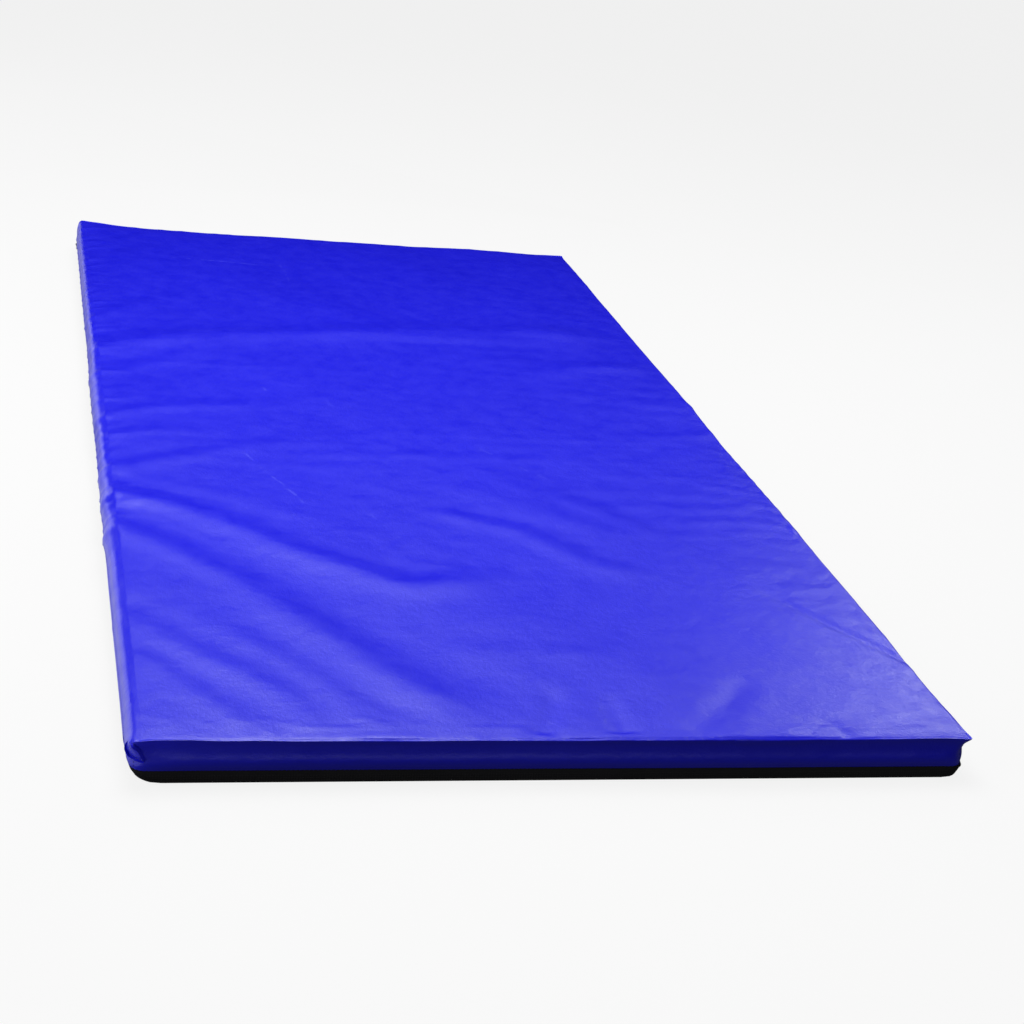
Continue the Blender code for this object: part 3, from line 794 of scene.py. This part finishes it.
class Nodes:
    """Short calls for the nodes that the materials share."""

    def __init__(self, tree):
        self.tree = tree
        self.shader = tree.nodes["Principled BSDF"]
        self.place = self.add("ShaderNodeTexCoord").outputs["Object"]

    def add(self, kind, **settings):
        node = self.tree.nodes.new(kind)
        for key, value in settings.items():
            setattr(node, key, value)
        return node

    def link(self, source, target):
        self.tree.links.new(source, target)

    def feed(self, target, value):
        if isinstance(value, bpy.types.NodeSocket):
            self.link(value, target)
        else:
            target.default_value = value

    def look(self, key, value):
        """Links a socket to the shader, or sets a number or colour on it."""
        self.feed(self.shader.inputs[key], value)

    def texture(self, kind, scale, place=None, **settings):
        node = self.add("ShaderNodeTex" + kind, **settings)
        self.link(place or self.place, node.inputs["Vector"])
        node.inputs["Scale"].default_value = scale
        return node

    def math(self, operation, first, second=0.0, third=0.0, clamp=False):
        node = self.add("ShaderNodeMath", operation=operation, use_clamp=clamp)
        for socket, value in zip(node.inputs, (first, second, third)):
            self.feed(socket, value)
        return node.outputs[0]

    def vector(self, operation, first, second=(0.0, 0.0, 0.0)):
        node = self.add("ShaderNodeVectorMath", operation=operation)
        self.feed(node.inputs[0], first)
        self.feed(node.inputs[1], second)
        return node

    def noise(self, scale, detail=2.0, roughness=0.5, place=None):
        node = self.texture("Noise", scale, place)
        node.inputs["Detail"].default_value = detail
        node.inputs["Roughness"].default_value = roughness
        return node.outputs["Fac"]

    def ramp(self, value, low, high, from_low=0.0, from_high=1.0):
        """value mapped from one range to another, held at both ends."""
        node = self.add("ShaderNodeMapRange", clamp=True)
        for socket, number in zip(node.inputs, (value, from_low, from_high, low, high)):
            self.feed(socket, number)
        return node.outputs[0]

    def mix(self, share, first, second):
        node = self.add("ShaderNodeMix", data_type="RGBA")
        self.feed(node.inputs["Factor"], share)
        self.feed(node.inputs["A"], first)
        self.feed(node.inputs["B"], second)
        return node.outputs["Result"]

    def bump(self, height, depth, under=None):
        """A bump of that depth in metres, on top of another."""
        node = self.add("ShaderNodeBump")
        node.inputs["Distance"].default_value = depth
        node.inputs["Strength"].default_value = 1.0
        self.link(height, node.inputs["Height"])
        if under is not None:
            self.link(under, node.inputs["Normal"])
        return node.outputs["Normal"]


# Scratches in the sheet's surface, as pairs of ends on the top.
SCUFFS = (
    ((-0.124, 0.834), (-0.117, 0.70)),
    ((-0.296, -0.173), (-0.226, -0.352)),
    ((-0.143, -0.378), (-0.085, -0.518)),
    ((-0.137, 0.056), (-0.130, 0.018)),
    ((-0.258, 0.170), (-0.230, 0.094)),
    ((-0.330, 0.800), (-0.170, 0.790)),
    ((0.075, -0.128), (0.155, -0.235)),
)


def scuff_mask(nodes):
    """1 along each scratch, which wavers a little and breaks up along its length."""
    waver = nodes.texture("Noise", 22.0).outputs["Color"]
    centred = nodes.vector("SUBTRACT", waver, (0.5, 0.5, 0.5)).outputs[0]
    shift = nodes.vector("SCALE", centred)
    shift.inputs["Scale"].default_value = 0.012
    place = nodes.vector("ADD", nodes.place, shift.outputs[0]).outputs[0]
    total = None
    for start, end in SCUFFS:
        start, end = Vector((*start, TOP)), Vector((*end, TOP))
        step = end - start
        from_start = nodes.vector("SUBTRACT", place, tuple(start)).outputs[0]
        dot = nodes.vector("DOT_PRODUCT", from_start, tuple(step / step.length_squared)).outputs["Value"]
        share = nodes.math("ADD", dot, 0.0, clamp=True)
        along = nodes.add("ShaderNodeVectorMath", operation="SCALE")
        along.inputs[0].default_value = tuple(step)
        nodes.link(share, along.inputs["Scale"])
        gap = nodes.vector("DISTANCE", from_start, along.outputs[0]).outputs["Value"]
        mask = nodes.ramp(gap, 1.0, 0.0, 0.0004, 0.0020)
        total = mask if total is None else nodes.math("MAXIMUM", total, mask)
    broken = nodes.ramp(nodes.noise(90.0, 1.0), 0.0, 1.0, 0.40, 0.55)
    return nodes.math("MULTIPLY", total, broken)


def blue_pvc():
    """PVC-coated cloth: a fine pressed grain, cloudy gloss, and light scratches."""
    material, nodes = new_material("blue_pvc", (0.012, 0.012, 0.75), 0.4)
    clouds = nodes.noise(3.5, 4.0, 0.6)
    blotches = nodes.noise(38.0, 3.0, 0.55)
    scuffs = scuff_mask(nodes)
    deep = nodes.mix(clouds, (0.009, 0.009, 0.70, 1.0), (0.011, 0.012, 0.79, 1.0))
    worn = nodes.mix(nodes.math("MULTIPLY", scuffs, 0.35), deep, (0.13, 0.15, 0.95, 1.0))
    nodes.look("Base Color", worn)
    gloss = nodes.ramp(blotches, 0.30, 0.40, 0.3, 0.7)
    nodes.look("Roughness", nodes.math("ADD", gloss, nodes.math("MULTIPLY", scuffs, 0.12)))
    nodes.look("IOR", 1.5)

    grain = nodes.texture("Voronoi", 900.0, feature="SMOOTH_F1")
    pebbles = nodes.bump(grain.outputs["Distance"], 0.00012)
    mottled = nodes.bump(nodes.noise(240.0, 2.0, 0.6), 0.0003, pebbles)
    handled = nodes.bump(nodes.noise(26.0, 3.0, 0.5), 0.0012, mottled)
    nodes.look("Normal", handled)
    return material


def black_non_slip():
    """Black sheet with rows of small raised dots."""
    material, nodes = new_material("black_non_slip", (0.010, 0.010, 0.012), 0.6)
    shade = nodes.mix(nodes.noise(14.0, 3.0), (0.008, 0.008, 0.010, 1.0), (0.014, 0.014, 0.017, 1.0))
    dots = nodes.texture("Voronoi", 330.0, feature="F1")
    dots.inputs["Randomness"].default_value = 0.0
    raised = nodes.ramp(dots.outputs["Distance"], 1.0, 0.0, 0.25, 0.42)
    dust = nodes.math("MULTIPLY", raised, nodes.noise(6.0, 3.0))
    dusty = nodes.mix(dust, shade, (0.024, 0.024, 0.026, 1.0))
    nodes.look("Base Color", dusty)
    nodes.look("Roughness", nodes.ramp(nodes.noise(30.0, 3.0), 0.5, 0.72, 0.3, 0.7))
    nodes.look("Specular IOR Level", 0.25)
    embossed = nodes.bump(raised, 0.00025)
    nodes.look("Normal", nodes.bump(nodes.noise(700.0, 2.0), 0.00008, embossed))
    return material


def grey_foam():
    """Open-cell foam: small pits all over, each darkened with painted shade."""
    material, nodes = new_material("grey_foam", (0.42, 0.42, 0.43), 0.95)
    cells = nodes.texture("Voronoi", 700.0, feature="F1")
    pit_relief_and_shade = nodes.ramp(cells.outputs["Distance"], 0.0, 1.0, 0.15, 0.6)
    flecks = nodes.mix(nodes.noise(420.0, 1.0), (0.30, 0.30, 0.32, 1.0), (0.50, 0.50, 0.51, 1.0))
    # Painted shade: the colour darkens towards the middle of each cell, where the pit's shade would fall,
    # besides the pit's bump below.
    nodes.look("Base Color", nodes.mix(pit_relief_and_shade, (0.16, 0.16, 0.17, 1.0), flecks))
    nodes.look("Normal", nodes.bump(pit_relief_and_shade, 0.0006))
    return material


def woven(nodes, pitch):
    """A plain weave in the plane of the long wall: 0 between threads and 1 on top of them."""
    parts = nodes.add("ShaderNodeSeparateXYZ")
    nodes.link(nodes.place, parts.inputs["Vector"])
    turn = 2 * math.pi / pitch
    lengthwise = nodes.math("SINE", nodes.math("MULTIPLY", parts.outputs["Y"], turn))
    upright = nodes.math("SINE", nodes.math("MULTIPLY", parts.outputs["Z"], turn))
    return nodes.math("ADD", nodes.math("MULTIPLY", nodes.math("MULTIPLY", lengthwise, upright), 0.5), 0.5)


def tape_cloth():
    """Woven polyester tape, with painted shade between the threads."""
    material, nodes = new_material("zip_tape_cloth", (0.018, 0.020, 0.42), 0.85)
    weave = woven(nodes, 0.0008)
    fuzz = nodes.noise(1500.0, 2.0)
    # Painted shade: the colour is darker between the threads and lighter on top of them, following the
    # weave's relief.
    shade = nodes.mix(weave, (0.006, 0.007, 0.20, 1.0), (0.016, 0.018, 0.46, 1.0))
    fluff_and_weave_shade = nodes.mix(nodes.math("MULTIPLY", fuzz, 0.4), shade, (0.04, 0.045, 0.50, 1.0))
    nodes.look("Base Color", fluff_and_weave_shade)
    nodes.look("Normal", nodes.bump(fuzz, 0.00008, nodes.bump(weave, 0.00025)))
    nodes.look("Sheen Weight", 0.2)
    return material


def coil_nylon():
    """Moulded nylon filament, worn duller in places."""
    material, nodes = new_material("zip_coil_nylon", (0.016, 0.018, 0.36), 0.35)
    nodes.look("Roughness", nodes.ramp(nodes.noise(160.0, 3.0), 0.25, 0.5, 0.3, 0.7))
    shade = nodes.mix(nodes.noise(60.0, 2.0), (0.010, 0.011, 0.26, 1.0), (0.018, 0.020, 0.40, 1.0))
    nodes.look("Base Color", shade)
    nodes.look("Normal", nodes.bump(nodes.noise(2500.0, 1.0), 0.00004))
    return material


def blue_thread():
    """Twisted polyester thread, with painted shade in the grooves of the twist."""
    material, nodes = new_material("blue_thread", (0.016, 0.020, 0.42), 0.55)
    twist = nodes.texture("Wave", 450.0, wave_type="BANDS", bands_direction="DIAGONAL")
    twist.inputs["Distortion"].default_value = 0.6
    # Painted shade: the twist's bands are darker in its grooves and lighter on its ridges, following the bump
    # below.
    shade = nodes.mix(twist.outputs["Fac"], (0.010, 0.012, 0.28, 1.0), (0.020, 0.026, 0.50, 1.0))
    nodes.look("Base Color", shade)
    nodes.look("Normal", nodes.bump(twist.outputs["Fac"], 0.0001))
    nodes.look("Sheen Weight", 0.15)
    return material


def zip_metal():
    """Nickel-plated zinc, brushed along its length, with small knocks."""
    material, nodes = new_material("zip_metal", (0.55, 0.55, 0.57), 0.28)
    nodes.look("Metallic", 1.0)
    stretched = nodes.vector("MULTIPLY", nodes.place, (1.0, 0.06, 1.0)).outputs[0]
    brushed = nodes.noise(5200.0, 2.0, 0.6, stretched)
    knocks = nodes.noise(800.0, 3.0, 0.7)
    nodes.look("Roughness", nodes.ramp(brushed, 0.20, 0.38, 0.3, 0.7))
    tint = nodes.mix(nodes.noise(300.0, 3.0), (0.50, 0.50, 0.51, 1.0), (0.62, 0.62, 0.64, 1.0))
    nodes.look("Base Color", tint)
    nodes.look("Normal", nodes.bump(knocks, 0.00006, nodes.bump(brushed, 0.00002)))
    return material


# ------------ camera, light and stage

CAMERA_AT = Vector((-0.6491, -2.8272, 1.1381))
CAMERA_AIM = Vector((0.0716, -0.3668, 0.0600))
CAMERA_ROLL = math.radians(8.17)
CAMERA_LENS = 68.1


def make_camera():
    camera = add_object("camera", bpy.data.cameras.new("camera"))
    camera.location = CAMERA_AT
    facing = (CAMERA_AIM - CAMERA_AT).to_track_quat("-Z", "Y").to_matrix().to_4x4()
    camera.rotation_euler = (facing @ Matrix.Rotation(CAMERA_ROLL, 4, "Z")).to_euler()
    camera.data.lens = CAMERA_LENS
    camera.data.sensor_width = 36.0
    bpy.context.scene.camera = camera


# The studio lights: name, place, the point that each is turned towards, size, and power in watts.
SOFT_LIGHTS = (
    ("overhead", (-0.35, -0.04, 2.15), (-0.30, -0.08, 0.0), (1.6, 1.6), 54.0),
    ("left", (-2.6, -0.9, 1.6), (-0.5, -0.6, 0.0), (1.4, 1.4), 15.0),
    ("front", (0.15, -3.2, 1.4), (0.0, -1.0, 0.0), (2.4, 1.0), 11.0),
    ("behind", (0.15, 1.9, 2.5), (0.0, -0.5, 0.0), (2.4, 0.9), 11.5),
    ("behind_low", (0.35, 2.3, 1.55), (0.2, 0.3, 0.0), (2.7, 0.4), 1.6),
    ("behind_right", (2.1, 1.7, 1.65), (0.44, -0.9, 0.0), (1.0, 0.6), 6.5),
    ("near_right", (1.6, 0.75, 1.15), (0.47, -0.95, 0.0), (0.4, 0.4), 2.7),
    ("behind_left", (-2.0, 2.0, 0.45), (-0.5, -0.3, 0.05), (2.0, 0.8), 9.5),
    ("left_bounce", (-1.2, 0.15, 0.001), (-1.2, 0.15, 1.0), (1.37, 4.0), 11.0),
    ("left_bounce_near", (-0.8, -0.75, 0.002), (-0.8, -0.75, 1.0), (0.5, 1.2), 1.0),
)


def soft_light(name, place, aim, size, power):
    """A rectangular light at a place, turned towards a point."""
    light = add_object(name, bpy.data.lights.new(name, "AREA"))
    light.data.shape = "RECTANGLE"
    light.data.size, light.data.size_y = size
    light.data.energy = power
    light.visible_camera = False
    light.location = place
    light.rotation_euler = (Vector(aim) - Vector(place)).to_track_quat("-Z", "Y").to_euler()


def stage_floor(name, shade, glow):
    """A wide pale floor that glows a little."""
    shape = bmesh.new()
    bmesh.ops.create_grid(shape, x_segments=2, y_segments=2, size=60.0)
    mesh = bpy.data.meshes.new(name)
    shape.to_mesh(mesh)
    shape.free()
    floor = add_object(name, mesh)
    material, nodes = new_material(name, (shade,) * 3, 0.9)
    nodes.look("Specular IOR Level", 0.0)
    nodes.look("Emission Color", (1.0, 1.0, 1.0, 1.0))
    nodes.look("Emission Strength", glow)
    mesh.materials.append(material)
    return floor


def make_stage():
    """The floor that the camera sees is white. The darker one, unseen, is what the mat reflects."""
    seen = stage_floor("floor_seen", 0.10, 0.86)
    seen.visible_diffuse = False
    seen.visible_glossy = False
    unseen = stage_floor("floor_reflected", 0.05, 0.06)
    unseen.visible_camera = False
    unseen.visible_shadow = False

    world = bpy.data.worlds.new("studio")
    world.use_nodes = True
    background = world.node_tree.nodes["Background"]
    background.inputs["Color"].default_value = (1.0, 1.0, 1.0, 1.0)
    background.inputs["Strength"].default_value = 0.86
    world.cycles_visibility.diffuse = False
    world.cycles_visibility.glossy = False
    bpy.context.scene.world = world
    bpy.context.scene.view_settings.view_transform = "Standard"

    for name, place, aim, size, power in SOFT_LIGHTS:
        soft_light(name, place, aim, size, power)


# ------------ the mat

ENDS = (("near", -1), ("far", 1))

make_camera()
make_stage()
cover, side_hem = make_cover()
base = make_base()
teeth = {name: make_coil(name, side) for name, side in (("zip_coil_upper", 1), ("zip_coil_lower", -1))}

blue_surfaces = [surface_of(cover), surface_of(side_hem)]
foam = make_foam()
corner_folds = [make_corner_fold(f"corner_fold_{end}", along) for end, along in ENDS]
corner_seams = [make_stitches(f"corner_seam_{end}", corner_seam_line(along), on_blue) for end, along in ENDS]
upper_stitches = make_stitches("zip_upper_stitches", zip_hem_line(SLOT_HIGH + HEM_STITCH), on_blue)
lower_stitches = make_stitches("zip_lower_stitches", zip_hem_line(SLOT_LOW - HEM_STITCH), on_blue)
seam_stitches = make_stitches("seam_stitches", seam_line(), in_seam)
corner_stitches = {}
for side, across in (("left", -1), ("right", 1)):
    for end, along in ENDS:
        stitches = make_stitches(f"corner_stitches_{end}_{side}", corner_line(across, along), on_blue)
        corner_stitches[f"corner_thread_{end}_{side}"] = stitches

turn_in_rims(cover)
turn_in_rims(side_hem)

blue = blue_pvc()
thread = blue_thread()
nylon = coil_nylon()
for piece, material, slot, nodes in (
    (cover, blue, "blue_pvc", ["cover_top_sheet"]),
    (side_hem, blue, "blue_pvc", ["zip_side_strip"]),
    *((fold, blue, "blue_pvc", []) for fold in corner_folds),
    *((seam, thread, "blue_thread", []) for seam in corner_seams),
    (base, black_non_slip(), "black_non_slip", ["cover_base_sheet"]),
    (foam, grey_foam(), "grey_foam", ["foam_core"]),
    *((row, nylon, "zip_coil_nylon", [node]) for node, row in teeth.items()),
    (upper_stitches, thread, "blue_thread", ["zip_upper_thread"]),
    (lower_stitches, thread, "blue_thread", ["zip_lower_thread"]),
    (seam_stitches, thread, "blue_thread", ["base_seam_thread"]),
    *((piece, thread, "blue_thread", [node]) for node, piece in corner_stitches.items()),
):
    piece.data.materials.clear()
    piece.data.materials.append(material)
    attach(piece, MAT_BODY)
    if nodes:
        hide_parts(*nodes)

tapes = ("zip_tape_upper", "zip_tape_lower")
stops = ("zip_bottom_stop", "zip_top_stop_upper", "zip_top_stop_lower")
for material, names in ((tape_cloth(), tapes), (zip_metal(), ("zip_slider_body", "zip_pull_tab", *stops))):
    for name in names:
        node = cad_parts[name]
        node.data.materials.clear()
        node.data.materials.append(material)
